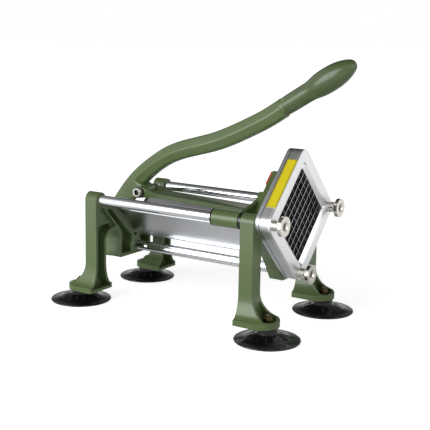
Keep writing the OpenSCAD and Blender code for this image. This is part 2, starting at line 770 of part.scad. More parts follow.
washer_t = 1.2;
bolt_head = 5.5;
bolt_head_d = 1.44 * pin_d;
bolt_out = 4;
bolt_nut = 5;
module link_bolt() {
    side = link_w / 2 + washer_t;
    centred() color(steel) difference() {
        union() {
            bar_y(2 * (side + bolt_out), pin_d, crank_pin);
            translate([0, -side - bolt_head / 2, 0]) bar_y(bolt_head, bolt_head_d, crank_pin);
        }
        hex_y(-side - bolt_head - over, 0.55 * bolt_head + over, 0.75 * pin_d, crank_pin);
    }
}
module link_washers() {
    centred() color(rubber) both_y() translate([0, link_w / 2 + washer_t / 2, 0]) difference() {
        bar_y(washer_t, 1.75 * pin_d, crank_pin);
        bar_y(washer_t + 2 * over, pin_d, crank_pin);
    }
}
module link_nut() {
    centred() color(steel) difference() {
        hex_y(link_w / 2 + washer_t, bolt_nut, 1.5 * pin_d, crank_pin);
        translate([0, link_w / 2 + washer_t, 0]) bar_y(4 * bolt_nut, pin_d, crank_pin);
    }
}

// Lever

// Smooth line through the points of the spine
function spline(p, i, t) =
    let (a = p[max(i - 1, 0)], b = p[i], c = p[i + 1], d = p[min(i + 2, len(p) - 1)])
    0.5 * (2 * b + (c - a) * t + (2 * a - 5 * b + 4 * c - d) * t * t + (3 * b - a - 3 * c + d) * t * t * t);
spine_steps = 4;
spine_line = [for (i = [0 : len(spine) - 2], k = [0 : spine_steps - 1]) spline(spine, i, k / spine_steps)];
spine_all = concat(spine_line, [spine[len(spine) - 1]]);

// Ring of the lever's surface at one point of the line: an oval drawn out to a soft ridge
ring_sides = 16;
oval_power = 1.15;
function ridge(c) = sign(c) * pow(abs(c), oval_power);
function lever_ring(i) =
    let (a = spine_all[max(i - 1, 0)], b = spine_all[min(i + 1, len(spine_all) - 1)],
         d = [b.x - a.x, b.y - a.y] / norm([b.x - a.x, b.y - a.y]), q = spine_all[i])
    [for (k = [0 : ring_sides - 1]) let (t = 360 * k / ring_sides, n = q.z * ridge(sin(t)))
        [q.x - n * d.y, q[3] * ridge(cos(t)), q.y + n * d.x]];

module lever_sweep() {
    rings = len(spine_all);
    points = [for (i = [0 : rings - 1]) each lever_ring(i)];
    sides = [for (i = [0 : rings - 2], k = [0 : ring_sides - 1])
        let (a = i * ring_sides + k, b = i * ring_sides + (k + 1) % ring_sides)
        each [[a, a + ring_sides, b], [b, a + ring_sides, b + ring_sides]]];
    first = [for (k = [0 : ring_sides - 1]) k];
    last = [for (k = [ring_sides - 1 : -1 : 0]) (rings - 1) * ring_sides + k];
    polyhedron(points, concat(sides, [first, last]));
}

lug_nose = 8.2;
bush_wall = 2;
link_bush_wall = 1.5;
module lever() {
    centred() color(green) difference() {
        union() {
            lever_sweep();
            bar_y(2 * lug_in - 2 * slack, 2 * lug_r, pivot);
            // Lug for the crank pin on the front side of the lever
            along_y(2 * lug_half) {
                translate(crank_pin) circle(r = lug_nose);
                polygon([crank_pin + lug_nose * [0.62, 0.78], [spine[3].x, spine[3].y],
                    [spine[2].x, spine[2].y], crank_pin + lug_nose * [-0.2, -0.98]]);
            }
            translate([grip_at.x, 0, grip_at.y]) rotate([0, 90 - grip_dir, 0]) rotate_extrude()
                polygon([for (p = grip_shares) [p.y * grip_d, p.x * grip_len]]);
        }
        bar_y(2 * lug_in, pivot_d + 2 * bush_wall, pivot);
        bar_y(link_w, pin_d + 2 * link_bush_wall, crank_pin);
    }
}

// Bushes pressed into the lever
module lever_bush() {
    centred() color("darkgoldenrod") difference() {
        bar_y(2 * lug_in - 2 * slack, pivot_d + 2 * bush_wall, pivot);
        bar_y(2 * lug_in, pivot_d + 2 * run_fit, pivot);
    }
}
module link_bush() {
    centred() color("darkgoldenrod") difference() {
        bar_y(2 * lug_half, pin_d + 2 * link_bush_wall, crank_pin);
        bar_y(2 * lug_half + 2 * over, pin_d + 2 * run_fit, crank_pin);
    }
}

pivot_side = lug_in + lug_t;
pivot_head = 0.64 * pivot_d;
pivot_nut_h = 0.8 * pivot_d;
pivot_hex = 1.6 * pivot_d;
module pivot_bolt() {
    centred() color(steel) {
        bar_y(2 * pivot_side + 2 * washer_t + 2 * over, pivot_d, pivot);
        translate([0, pivot_side + washer_t + 0.45 * pivot_d, 0]) bar_y(0.9 * pivot_d, pivot_d, pivot);
        hex_y(-pivot_side - washer_t - pivot_head, pivot_head, pivot_hex, pivot);
    }
}
module pivot_washers() {
    centred() color(steel) both_y() translate([0, pivot_side + washer_t / 2, 0]) difference() {
        bar_y(washer_t, 2 * pivot_d, pivot);
        bar_y(washer_t + 2 * over, pivot_d, pivot);
    }
}
module pivot_nut() {
    centred() color(steel) difference() {
        hex_y(pivot_side + washer_t, pivot_nut_h, pivot_hex, pivot);
        translate([0, pivot_side + washer_t, 0]) bar_y(4 * pivot_nut_h, pivot_d, pivot);
    }
}

// Suction feet

// Half section of a cup, as shares of its diameter and its height
cup_shares = [[0, 0.23], [0.313, 0.15], [0.447, 0], [0.492, 0], [0.5, 0.05], [0.495, 0.12], [0.34, 0.34],
              [0.18, 0.74], [0.163, 0.84], [0.163, 1], [0, 1]];
stud_in = 7;
stud_out = 7;
stud_nut = 5;
stud_hex = 10;
module suction_cup(sx, sy) {
    centred() color(rubber) translate([sx * cup_x, sy * side_y, 0]) difference() {
        rotate_extrude() polygon([for (p = cup_shares) [p.x * cup_d, p.y * cup_h]]);
        translate([0, 0, cup_h - stud_in]) cylinder(h = stud_in + over, d = stud_d);
    }
}
module cup_rear_near() { suction_cup(-1, -1); }
module cup_rear_far() { suction_cup(-1, 1); }
module cup_front_near() { suction_cup(1, -1); }
module cup_front_far() { suction_cup(1, 1); }

module at_cups() { for (sx = [-1, 1], sy = [-1, 1]) translate([sx * cup_x, sy * side_y, foot_z]) children(); }
module cup_studs() {
    centred() color(steel) at_cups() translate([0, 0, -stud_in]) 
        cylinder(h = stud_in + floor_t + washer_t + stud_out, d = stud_d);
}
module cup_washers() {
    centred() color(steel) at_cups() translate([0, 0, floor_t]) difference() {
        cylinder(h = washer_t, d = 2 * stud_d);
        translate([0, 0, -over]) cylinder(h = washer_t + 2 * over, d = stud_d);
    }
}
module cup_nuts() {
    centred() color(steel) at_cups() translate([0, 0, floor_t + washer_t]) difference() {
        cylinder(h = stud_nut, d = stud_hex / cos(30), $fn = 6);
        translate([0, 0, -over]) cylinder(h = stud_nut + 2 * over, d = stud_d);
    }
}

rear_casting();
front_casting();
guide_rod_near();
guide_rod_far();
lower_rod();
rod_screws();
trough();
blade_frame_back();
blade_frame_front();
blades_rising();
blades_falling();
frame_screws();
label_strip();
thumb_nut_near();
thumb_nut_far();
thumb_nut_bottom();
stop_bumpers();
carriage();
rear_bushes();
front_bushes();
pusher_block();
pusher_screws();
badge_plate();
push_pin_bolt();
link();
link_bolt();
link_washers();
link_nut();
lever();
lever_bush();
link_bush();
pivot_bolt();
pivot_washers();
pivot_nut();
cup_rear_near();
cup_rear_far();
cup_front_near();
cup_front_far();
cup_studs();
cup_washers();
cup_nuts();
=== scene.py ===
"""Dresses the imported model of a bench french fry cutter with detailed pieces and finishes."""

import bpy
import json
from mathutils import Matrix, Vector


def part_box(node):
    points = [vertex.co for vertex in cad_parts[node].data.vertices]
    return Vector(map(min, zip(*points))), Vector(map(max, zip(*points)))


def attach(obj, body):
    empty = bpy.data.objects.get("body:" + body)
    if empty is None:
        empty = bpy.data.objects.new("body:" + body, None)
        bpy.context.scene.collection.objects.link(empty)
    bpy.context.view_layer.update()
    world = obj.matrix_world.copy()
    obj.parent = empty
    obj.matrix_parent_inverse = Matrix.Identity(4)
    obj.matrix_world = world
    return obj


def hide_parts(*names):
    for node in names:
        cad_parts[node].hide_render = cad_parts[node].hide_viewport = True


bl_info = {
    "name": "French Fry Cutter",
    "version": (1, 0, 0),
    "blender": (4, 5, 0),
    "location": "3D View > Sidebar > Fry Cutter",
    "description": "Detailed pieces, finishes and a plain studio for the packed fry cutter",
    "category": "Object",
}

import json
import math

import bmesh
import bpy
import numpy as np
from bpy.props import FloatProperty, FloatVectorProperty, IntProperty, PointerProperty
from mathutils import Matrix, Vector

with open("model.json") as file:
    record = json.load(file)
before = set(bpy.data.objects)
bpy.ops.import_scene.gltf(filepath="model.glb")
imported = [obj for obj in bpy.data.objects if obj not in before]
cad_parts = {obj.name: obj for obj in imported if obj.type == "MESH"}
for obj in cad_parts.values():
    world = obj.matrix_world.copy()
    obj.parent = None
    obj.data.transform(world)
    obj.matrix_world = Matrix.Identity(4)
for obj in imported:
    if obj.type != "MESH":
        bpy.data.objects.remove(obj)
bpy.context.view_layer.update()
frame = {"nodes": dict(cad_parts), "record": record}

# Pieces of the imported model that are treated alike, and the body that each piece rides on
CUPS = ("cup_rear_near", "cup_rear_far", "cup_front_near", "cup_front_far")
HAND_NUTS = ("thumb_nut_near", "thumb_nut_far", "thumb_nut_bottom")
RODS = ("guide_rod_near", "guide_rod_far", "lower_rod")
PAINTED = ("rear_casting", "front_casting", "carriage")
BODY_OF = {node: body for body, nodes in frame["record"]["behaviour"]["bodies"].items() for node in nodes}

# The lever's line as shares of its reach, rise, depth and width, and the grip's outline as shares of
# its length and diameter
LEVER_SHARES = np.array([
    [0, 0, 0.55, 0.5], [0.06, 0.155, 0.55, 0.5], [0.124, 0.3, 0.55, 0.5], [0.214, 0.453, 0.52, 0.5],
    [0.331, 0.583, 0.49, 0.5], [0.451, 0.668, 0.505, 0.5], [0.671, 0.76, 0.51, 0.495],
    [0.873, 0.888, 0.5, 0.49], [0.986, 0.981, 0.495, 0.48],
])
GRIP_SHARES = np.array([
    [-0.05, 0], [-0.05, 0.36], [0, 0.375], [0.04, 0.385], [0.2, 0.393], [0.31, 0.395], [0.38, 0.41],
    [0.45, 0.455], [0.52, 0.49], [0.62, 0.502], [0.73, 0.482], [0.81, 0.436], [0.88, 0.365],
    [0.945, 0.265], [0.985, 0.15], [1, 0],
])
# The cup's outline as shares of its width and height
CUP_UNDER_SHARES = np.array([[0, 0.23], [0.313, 0.15], [0.447, 0], [0.492, 0]])
CUP_BELL_SHARES = np.array([
    [0.499, 0.04], [0.4985, 0.09], [0.485, 0.13], [0.42, 0.18], [0.34, 0.255], [0.25, 0.38], [0.2, 0.465],
    [0.18, 0.5],
])
CUP_NECK_SHARES = np.array([[0.162, 0.51], [0.152, 0.53], [0.151, 0.86], [0.163, 0.9], [0.163, 1], [0, 1]])

# Lengths are in metres. The bar's rounded ends, and the share of its half width that its top keeps flat
BAR_END = 0.0016
BAR_FLAT = 0.25
# The grip's slope in degrees, and how far its axis starts below the end of the lever's line
GRIP_SLOPE = 31.5
GRIP_DROP = 0.0007
# Hub round the pivot's bush, as length, bore radius, radius and rim, and lug round the crank pin's bush
HUB = (0.0254, 0.007, 0.013, 0.001)
LUG_NOSE, LUG_HALF, LUG_BORE, LUG_RIM = 0.0082, 0.0107, 0.0055, 0.0012
LUG_FRONT, LUG_BACK = np.array([0.62, 0.78]), np.array([-0.2, -0.98])
# Fine rings on a cup's bell: height, radians a metre, and as shares of the width where they fade in and end
RING_HEIGHT, RING_RADIANS, RING_FROM, RING_FADE, RING_END = 0.00013, 2700, 0.36, 0.08, 0.485
# Ribs on a cup's bell: height, power, and as shares of the width where they start, fade in, end and fade out
RIB_HEIGHT, RIB_POWER, RIB_FROM, RIB_IN, RIB_END, RIB_OUT = 0.0007, 14, 0.185, 0.02, 0.345, 0.06
# Steps between two points of a smooth line, and columns round a section
LINE_STEPS, GRIP_STEPS = 10, 6
BAR_COLUMNS, RING_COLUMNS, LUG_COLUMNS, CUP_COLUMNS = 72, 64, 96, 288

# Roundings of small pieces' edges
FINE_EDGE, BOLT_EDGE, NUT_EDGE = 0.0003, 0.0005, 0.0006
# Angles in degrees: an edge is rounded off above the first, and shaded sharp above the others
ROUNDED_ANGLE = 28.0
SHARP_ANGLE, LEVER_SHARP_ANGLE, CUP_SHARP_ANGLE = 35.0, 40.0, 50.0
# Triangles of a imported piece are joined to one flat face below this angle
FLAT_ANGLE = 0.6
# Points nearer than this are joined, in new pieces and in copies of packed ones, and shorter edges go
JOIN_NEW, JOIN_COPY, SHORTEST_EDGE = 2e-6, 4e-6, 1e-7

# Turn of the rods' threads, bevel of the blade frame, socket of the link's bolt and the label's border
THREAD_PITCH = 0.00125
FRAME_BEVEL = 0.0034
SOCKET_RADIUS = 0.0035
LABEL_BORDER = 0.0005
# Radians a metre of the rings that a lathe leaves
LATHE_RADIANS = 9000.0
# Where a marking or a painted shade starts and ends to fade, from the place that it is measured from
THREAD_FADE = 0.0004
SEAM_SHADOW_FADE = (0.00025, 0.0006)
MILLED_FADE = (-0.0004, 0.0002)
SOCKET_SHADE_RIM, SOCKET_SHADE_DEPTH = (-0.0002, 0.0001), (0.0002, 0.0007)
GRIP_SHADE_FADE = 0.004
# Depths of the finishes' relief
PEEL_DEPTH, THREAD_DEPTH, ALLOY_DEPTH, LATHE_DEPTH = 0.00006, 0.0003, 0.00004, 0.00001
SHEET_DEPTH, STRIP_DEPTH = 0.00001, 0.000006
DUST_DEPTH, GRAIN_DEPTH, FOIL_DEPTH = 0.00001, 0.00004, 0.00003

# Studio: half the floor's side, the lamps, and the camera fitted to a photograph 430 pixels wide
FLOOR_HALF = 40.0
# Distances between which the floor's reflection grows out of a painted shade round the object, and where
# behind the object it is dimmer
FLOOR_SHADE_FADE, FLOOR_BEHIND_Y, FLOOR_BEHIND_X = (0.12, 0.65), (0.15, 0.7), (-0.3, 0.1)
# Parts of a direction between which the sky turns to its ceiling, to the back, and dims upwards there
SKY_CEILING, SKY_BEHIND_Y, SKY_BEHIND_X, SKY_DIM = (0.48, 0.86), (0.1, 0.5), (-0.2, 0.2), (0.16, 0.36)
KEY_SIZE, KEY_PLACE = 1.3, (-0.5, -1.55, 0.45)
SIDE_SIZE, SIDE_PLACE = 1.2, (1.55, -0.25, 0.55)
LAMP_AIM = (0, 0, 0.12)
CAMERA_PLACE = (0.586254, -0.902060, 0.330070)
CAMERA_YAW, CAMERA_PITCH, CAMERA_ROLL = 32.68, 11.29, 1.14
CAMERA_FOCAL_PIXELS, PHOTO_PIXELS = 901.19, 430

# Outputs of the Texture Coordinate node and of the Light Path node
GENERATED, OBJECT = 0, 3
CAMERA_RAY, GLOSSY_RAY, TRANSMISSION_RAY = 0, 3, 6


def joint_place(name):
    """Place of a hinge in the side view, as (x, z)."""
    joint = next(j for j in frame["record"]["behaviour"]["joints"] if j["name"] == name)
    return np.array([joint["pos_m"][0], joint["pos_m"][2]])


# Shader building


class Socket:
    """One output of a shader node; arithmetic on it adds Math nodes."""

    def __init__(self, tree, output):
        self.tree = tree
        self.output = output

    def _math(self, operation, first, second=None):
        inputs = {i: value for i, value in enumerate((first, second)) if value is not None}
        return self.tree.node("ShaderNodeMath", {"operation": operation}, inputs)[0]

    def __add__(self, other):
        return self._math("ADD", self, other)

    __radd__ = __add__

    def __sub__(self, other):
        return self._math("SUBTRACT", self, other)

    def __rsub__(self, other):
        return self._math("SUBTRACT", other, self)

    def __mul__(self, other):
        return self._math("MULTIPLY", self, other)

    __rmul__ = __mul__

    def __pow__(self, other):
        return self._math("POWER", self, other)

    def __abs__(self):
        return self._math("ABSOLUTE", self)

    def sine(self):
        return self._math("SINE", self)

    def least(self, other):
        return self._math("MINIMUM", self, other)

    def most(self, other):
        return self._math("MAXIMUM", self, other)

    def rise(self, low, high):
        """0 below low, 1 above high, smooth between."""
        settings = {"interpolation_type": "SMOOTHSTEP"}
        inputs = {"Value": self, "From Min": low, "From Max": high}
        return self.tree.node("ShaderNodeMapRange", settings, inputs)[0]


class Tree:
    """A node tree being built, emptied first."""

    def __init__(self, node_tree):
        self.nodes = node_tree.nodes
        self.links = node_tree.links
        self.nodes.clear()

    def put(self, node, key, value):
        """Sets or links one input of a node."""
        socket = node.inputs[key]
        if isinstance(value, Socket):
            self.links.new(value.output, socket)
        elif socket.type == "RGBA" and len(value) == 3:
            socket.default_value = (*value, 1.0)
        else:
            socket.default_value = value

    def node(self, kind, settings=None, inputs=None):
        """Adds a node and returns its outputs as Sockets."""
        node = self.nodes.new(kind)
        for key, value in (settings or {}).items():
            setattr(node, key, value)
        for key, value in (inputs or {}).items():
            self.put(node, key, value)
        return [Socket(self, output) for output in node.outputs]

    def place(self, stretch=(1, 1, 1)):
        """Object coordinates, in metres, multiplied by stretch."""
        here = self.node("ShaderNodeTexCoord")[OBJECT]
        return self.node("ShaderNodeMapping", None, {"Vector": here, "Scale": stretch})[0]

    def split(self, vector):
        """X, Y and Z of a vector as three Sockets."""
        return self.node("ShaderNodeSeparateXYZ", None, {"Vector": vector})

    def noise(self, scale, detail, roughness=0.5, stretch=(1, 1, 1)):
        """Noise from 0 to 1 with about scale lumps a metre."""
        inputs = {"Vector": self.place(stretch), "Scale": scale, "Detail": detail, "Roughness": roughness}
        return self.node("ShaderNodeTexNoise", None, inputs)[0]

    def mix(self, factor, first, second):
        """Colour between first and second; the Mix node's colours are its inputs 6 and 7 and output 2."""
        return self.node("ShaderNodeMix", {"data_type": "RGBA"}, {0: factor, 6: first, 7: second})[2]

    def bump(self, height, distance, strength):
        """Normal from a height of 0 to 1 that stands for distance metres."""
        inputs = {"Height": height, "Distance": distance, "Strength": strength}
        return self.node("ShaderNodeBump", None, inputs)[0]


class Finish(Tree):
    """A material being built: its tree, its Principled shader and what feeds it."""

    def __init__(self, name, **values):
        self.material = bpy.data.materials.new(name)
        self.material.use_nodes = True
        super().__init__(self.material.node_tree)
        self.shader = self.nodes.new("ShaderNodeBsdfPrincipled")
        self.surface = self.nodes.new("ShaderNodeOutputMaterial").inputs["Surface"]
        self.links.new(self.shader.outputs[0], self.surface)
        self.feed(**values)

    def feed(self, **values):
        """Sets the Principled shader's inputs, named with underscores for spaces."""
        for key, value in values.items():
            self.put(self.shader, key.replace("_", " "), value)

    def axes(self):
        """X, Y and Z of the object coordinates as three Sockets."""
        return self.split(self.place())


def olive_paint(colour, name="olive enamel", grip=None):
    """Satin enamel on a casting: faint orange peel, soft clouds of tone, and beyond x = grip a deeper colour
    with painted shade.
    """
    paint = Finish(name, Specular_IOR_Level=0.33, Coat_Weight=0.33, Coat_Roughness=0.1)
    cloud = paint.noise(28, 2.0)
    speck = paint.noise(420, 4.0, 0.6)
    light = [min(1.0, c * 1.12) for c in colour]
    deep = [c * 0.86 for c in colour]
    tone = paint.mix(cloud * 0.75 + speck * 0.25, deep, light)
    if grip is not None:
        # Beyond x = grip the tone goes a quarter towards black: partly the grip's own deeper colour, partly
        # painted shade
        tone = paint.mix(0.25 * paint.axes()[0].rise(grip, grip + GRIP_SHADE_FADE), tone, (0, 0, 0))
    paint.feed(Base_Color=tone)
    paint.feed(Roughness=0.23 + 0.08 * speck + 0.05 * cloud)
    peel = paint.noise(650, 2.0, 0.45)
    paint.feed(Normal=paint.bump(peel, PEEL_DEPTH, 0.5))
    return paint.material


def drawn_metal(name, colour, roughness, grain, stretch, depth):
    """Metal with fine lines along one axis: noise stretched along the way it was drawn or ground."""
    metal = Finish(name, Metallic=1.0)
    line = metal.noise(grain, 4.0, 0.6, stretch)
    cloud = metal.noise(22, 2.0)
    low = [c * 0.9 for c in colour]
    metal.feed(Base_Color=metal.mix(line * 0.6 + cloud * 0.4, low, colour))
    metal.feed(Roughness=roughness - 0.05 + 0.1 * line)
    metal.feed(Normal=metal.bump(line, depth, 0.35))
    return metal.material


def polished_rod(front):
    """Polished rod whose end in front of x = front is a dark thread: a sine of x stands for the turns."""
    rod = Finish("polished rod", Metallic=1.0)
    x = rod.axes()[0]
    thread = x.rise(front, front + THREAD_FADE)
    line = rod.noise(250, 1.0, 0.5, (0.05, 1, 1))
    bright = rod.mix(line, (0.84, 0.86, 0.89), (0.92, 0.94, 0.97))
    rod.feed(Base_Color=rod.mix(thread, bright, (0.16, 0.15, 0.14)))
    rod.feed(Roughness=0.08 + 0.02 * line + 0.35 * thread)
    turns = (x * (2 * math.pi / THREAD_PITCH)).sine() * 0.5 + 0.5
    rod.feed(Normal=rod.bump(thread * turns, THREAD_DEPTH, 0.8))
    return rod.material


def frame_alloy(seam, front, bevel):
    """Cast alloy of the blade frame: grainy sides with a dark joint line of grime and painted gap shadow,
    and a face and bevel milled bright.
    """
    alloy = Finish("blade frame alloy", Metallic=1.0)
    x = alloy.axes()[0]
    # The dark line along the joint is grime and a painted shadow of the gap between the two layers
    joint = 1 - abs(x - seam).rise(*SEAM_SHADOW_FADE)
    milled = x.rise(*(front - bevel + edge for edge in MILLED_FADE))
    grain = alloy.noise(900, 4.0, 0.65)
    line = alloy.noise(700, 3.0, 0.6, (1, 0.05, 0.05))
    cloud = alloy.noise(40, 2.0)
    side = alloy.mix(grain * 0.6 + cloud * 0.4, (0.52, 0.53, 0.55), (0.78, 0.79, 0.81))
    face = alloy.mix(line * 0.6 + cloud * 0.4, (0.80, 0.81, 0.82), (0.93, 0.93, 0.94))
    metal = alloy.mix(milled, side, face)
    alloy.feed(Base_Color=alloy.mix(joint, metal, (0.06, 0.06, 0.06)))
    alloy.feed(Roughness=0.36 + 0.12 * grain - milled * 0.02)
    alloy.feed(Normal=alloy.bump(grain * (1 - milled) + line * milled * 0.3, ALLOY_DEPTH, 0.4))
    return alloy.material


def turned_metal(name, colour, roughness):
    """Metal turned in a lathe: a sine of X stands for fine rings, in the gloss and in a faint bump."""
    metal = Finish(name, Metallic=1.0)
    x = metal.axes()[0]
    ring = (x * LATHE_RADIANS).sine() * 0.5 + 0.5
    cloud = metal.noise(180, 3.0)
    low = [c * 0.86 for c in colour]
    metal.feed(Base_Color=metal.mix(cloud, low, colour))
    metal.feed(Roughness=roughness + 0.05 * ring * 0.4 + 0.05 * cloud * 0.6)
    metal.feed(Normal=metal.bump(ring, LATHE_DEPTH, 0.2))
    return metal.material


def screw_with_painted_socket_shade(axis, hole, face):
    """Bright screw along Y whose socket, nearer the axis than hole and behind y = face, is painted dark as
    its shade.
    """
    screw = Finish("bright screw", Metallic=1.0)
    x, y, z = screw.axes()
    across, up = x - float(axis[0]), z - float(axis[1])
    wide = (across * across + up * up) ** 0.5
    outside = wide.rise(*(hole + edge for edge in SOCKET_SHADE_RIM))
    # Painted shade inside the socket, behind the head's face
    deep = y.rise(*(face + edge for edge in SOCKET_SHADE_DEPTH)) * (1 - outside)
    cloud = screw.noise(180, 3.0)
    bright = screw.mix(cloud, (0.78, 0.76, 0.72), (0.9, 0.88, 0.84))
    screw.feed(Base_Color=screw.mix(deep, bright, (0.05, 0.048, 0.045)))
    screw.feed(Roughness=0.28 + 0.06 * cloud + 0.2 * deep)
    return screw.material


def glossy_rubber(colour):
    """Moulded rubber: a glossy skin with a faint bloom and fine dust."""
    rubber = Finish("glossy rubber", Specular_IOR_Level=0.5, Coat_Weight=0.25, Coat_Roughness=0.08)
    bloom = rubber.noise(60, 3.0)
    dust = rubber.noise(1500, 2.0, 0.6)
    light = [c + 0.005 for c in colour]
    rubber.feed(Base_Color=rubber.mix(bloom * 0.6 + dust * 0.4, colour, light))
    rubber.feed(Roughness=0.11 + 0.08 * bloom)
    rubber.feed(Normal=rubber.bump(dust, DUST_DEPTH, 0.2))
    return rubber.material


def moulded_plastic(name, colour, roughness, shine=0.45):
    """Moulded plastic with a fine spark grain."""
    plastic = Finish(name, Specular_IOR_Level=shine)
    grain = plastic.noise(1400, 3.0, 0.6)
    cloud = plastic.noise(70, 2.0)
    light = [min(1.0, c * 1.25 + 0.004) for c in colour]
    plastic.feed(Base_Color=plastic.mix(cloud * 0.5 + grain * 0.5, colour, light))
    plastic.feed(Roughness=roughness + 0.1 * grain)
    plastic.feed(Normal=plastic.bump(grain, GRAIN_DEPTH, 0.4))
    return plastic.material


def bordered_foil(name, colour, border, low, high, edge):
    """Foil strip on a face that slopes at 45 degrees: a plain field inside a thin border line."""
    foil = Finish(name, Specular_IOR_Level=0.5, Coat_Weight=0.6, Coat_Roughness=0.08)
    x, y, z = foil.axes()
    slope = (y + z) * math.sqrt(0.5)
    start = (low[1] + low[2]) * math.sqrt(0.5)
    end = (high[1] + high[2]) * math.sqrt(0.5)
    along = (slope - start).least(end - slope)
    across = (x - low[0]).least(high[0] - x)
    inside = along.least(across)
    line = inside.rise(edge, edge * 1.3) * (1 - inside.rise(edge * 2.0, edge * 2.3))
    cloud = foil.noise(90, 3.0)
    field = foil.mix(cloud, [c * 0.88 for c in colour], colour)
    foil.feed(Base_Color=foil.mix(line, field, border))
    foil.feed(Roughness=0.3 + 0.12 * cloud)
    foil.feed(Normal=foil.bump(foil.noise(300, 2.0), FOIL_DEPTH, 0.4))
    return foil.material


# Surfaces


def mesh_of(name, grids, smooth_angle):
    """Mesh of closed grids: each is (points as rows by columns by 3, rows join, columns join)."""
    points, faces, base = [], [], 0
    for grid, wrap_rows, wrap_columns in grids:
        rows, columns = grid.shape[:2]
        r = np.arange(rows if wrap_rows else rows - 1)
        c = np.arange(columns if wrap_columns else columns - 1)
        r, c = (a.ravel() for a in np.meshgrid(r, c, indexing="ij"))
        r2, c2 = (r + 1) % rows, (c + 1) % columns
        corners = [r * columns + c, r * columns + c2, r2 * columns + c2, r2 * columns + c]
        faces.append(np.stack(corners, 1) + base)
        points.append(grid.reshape(-1, 3))
        base += rows * columns
    points = np.concatenate(points)
    faces = np.concatenate(faces)
    mesh = bpy.data.meshes.new(name)
    mesh.vertices.add(len(points))
    mesh.vertices.foreach_set("co", points.astype(np.float32).ravel())
    mesh.loops.add(faces.size)
    mesh.loops.foreach_set("vertex_index", faces.astype(np.int32).ravel())
    mesh.polygons.add(len(faces))
    mesh.polygons.foreach_set("loop_start", np.arange(0, faces.size, 4, dtype=np.int32))
    mesh.update(calc_edges=True)
    tidy_mesh(mesh, smooth_angle)
    return mesh


def tidy_mesh(mesh, smooth_angle):
    """Merges doubles, drops faces with no area, turns normals outward and smooths up to an angle."""
    work = bmesh.new()
    work.from_mesh(mesh)
    bmesh.ops.remove_doubles(work, verts=work.verts, dist=JOIN_NEW)
    bmesh.ops.dissolve_degenerate(work, edges=work.edges, dist=SHORTEST_EDGE)
    bmesh.ops.recalc_face_normals(work, faces=work.faces)
    work.to_mesh(mesh)
    work.free()
    mesh.polygons.foreach_set("use_smooth", np.ones(len(mesh.polygons), dtype=bool))
    mesh.set_sharp_from_angle(angle=math.radians(smooth_angle))


def piece_of(name, mesh, body, material, nodes):
    """Object for a mesh, which rides on a body, takes a slot's finish and stands for CAD nodes."""
    piece = bpy.data.objects.new(name, mesh)
    bpy.context.scene.collection.objects.link(piece)
    mesh.materials.clear()
    mesh.materials.append(material)
    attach(piece, body)
    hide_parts(*nodes)
    return piece


def rounded_copy(node, width, segments, material):
    """Copy of a CAD node with its flat faces joined and its edges rounded off by width."""
    mesh = frame["nodes"][node].data.copy()
    mesh.name = node + " rounded"
    work = bmesh.new()
    work.from_mesh(mesh)
    bmesh.ops.remove_doubles(work, verts=work.verts, dist=JOIN_COPY)
    flat = math.radians(FLAT_ANGLE)
    bmesh.ops.dissolve_limit(
        work, angle_limit=flat, use_dissolve_boundaries=False, verts=work.verts, edges=work.edges
    )
    work.to_mesh(mesh)
    work.free()
    mesh.polygons.foreach_set("use_smooth", np.ones(len(mesh.polygons), dtype=bool))
    mesh.set_sharp_from_angle(angle=math.radians(SHARP_ANGLE))
    piece = piece_of(node + "_rounded", mesh, BODY_OF[node], material, (node,))
    bevel = piece.modifiers.new("edge rounding", "BEVEL")
    bevel.width = width
    bevel.segments = segments
    bevel.limit_method = "ANGLE"
    bevel.angle_limit = math.radians(ROUNDED_ANGLE)
    bevel.use_clamp_overlap = True
    bevel.harden_normals = False
    bevel.miter_outer = "MITER_ARC"


def around(profile, columns, axis, centre, ripple=None):
    """Grid of a profile [along, radius] turned about an axis; ripple may change both by the angle.

    A point lies at centre + along * axis + radius * (cos t, sin t) in the plane across the axis.
    """
    t = np.linspace(0, 2 * math.pi, columns, endpoint=False)
    along, radius = (profile[:, i, None] + 0 * t for i in (0, 1))
    if ripple is not None:
        along, radius = ripple(along, radius, t)
    axis = np.array(axis, float)
    side = np.cross(np.eye(3)[np.argmin(np.abs(axis))], axis)
    side /= np.linalg.norm(side)
    other = np.cross(axis, side)
    ring = np.cos(t)[None, :, None] * side + np.sin(t)[None, :, None] * other
    return np.array(centre) + along[..., None] * axis + radius[..., None] * ring


def smooth_line(points, steps):
    """Catmull-Rom line through points, each row a point with any number of values.

    Between two points it is the cubic whose slope at each is half the step between its neighbours.
    """
    p = np.asarray(points, float)
    ends = np.vstack([p[:1], p, p[-1:]])
    t = np.linspace(0, 1, steps, endpoint=False)[None, :, None]
    a, b, c, d = (ends[i:len(p) - 1 + i, None, :] for i in range(4))
    line = 0.5 * (2 * b + (c - a) * t + (2 * a - 5 * b + 4 * c - d) * t**2 + (3 * b - a - 3 * c + d) * t**3)
    return np.vstack([line.reshape(-1, p.shape[1]), p[-1:]])


